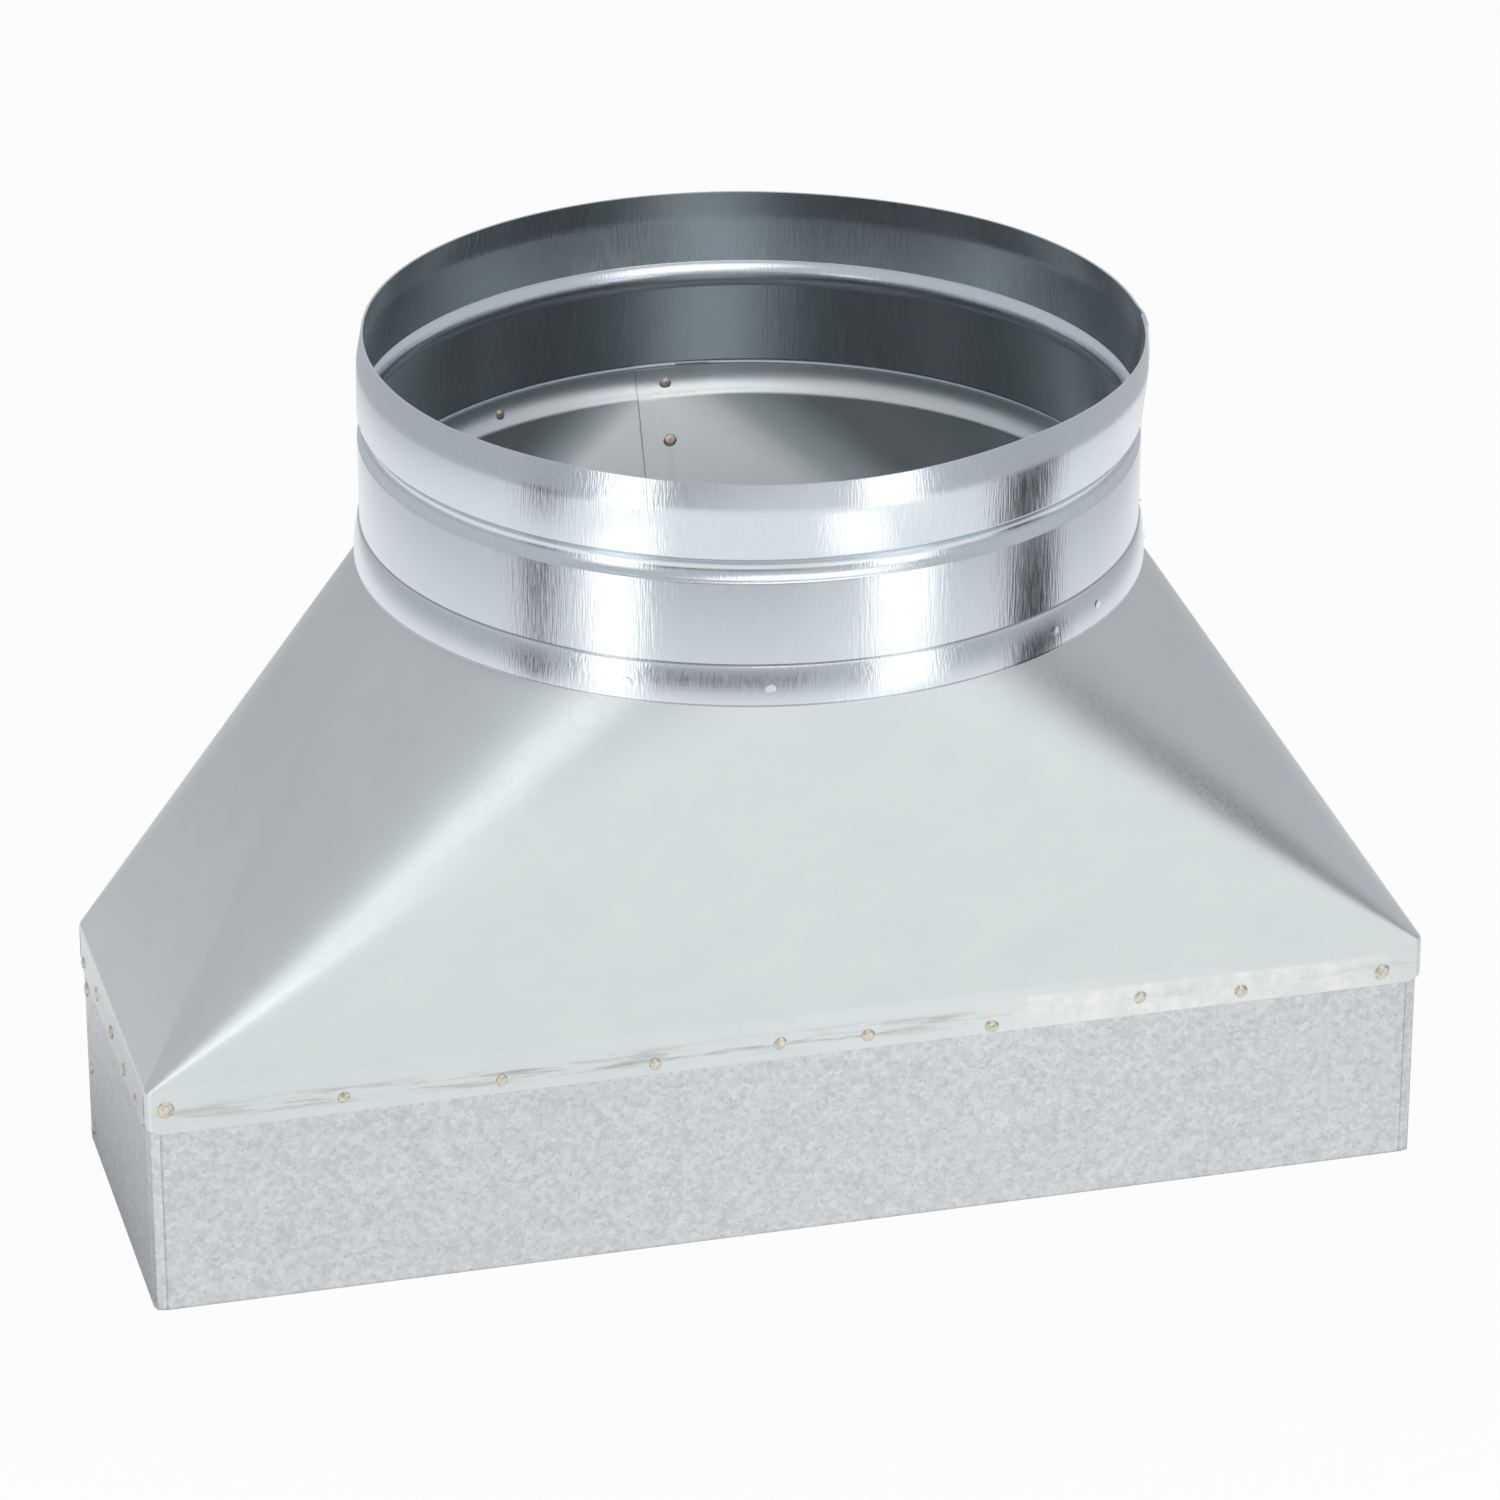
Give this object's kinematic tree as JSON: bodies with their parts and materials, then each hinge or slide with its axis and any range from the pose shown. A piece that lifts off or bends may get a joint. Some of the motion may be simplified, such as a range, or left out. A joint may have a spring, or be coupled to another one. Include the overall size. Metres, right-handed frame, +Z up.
{
  "type": "flat duct adapter",
  "caption": "Sheet-metal duct adapter: a flat rectangular spigot opens through a square-to-round body into a beaded round spigot.",
  "frame": {"origin": "middle of the flat spigot's open end, in the plane of its lower edges", "axes": "+X along the flat spigot's long side, +Y to the back, +Z up along the round spigot's axis"},
  "size_m": [0.425, 0.2528, 0.2916],
  "materials": {
    "spangled_zinc": "hot-dip galvanised sheet with a fine grey spangle",
    "satin_zinc": "smooth satin galvanised sheet",
    "bright_zinc": "bright galvanised sheet with fine upright rolling streaks"
  },
  "bodies": {
    "root": {"rect_spigot": "spangled_zinc", "transition_body": "satin_zinc", "round_collar": "bright_zinc"}
  },
  "joints": []
}
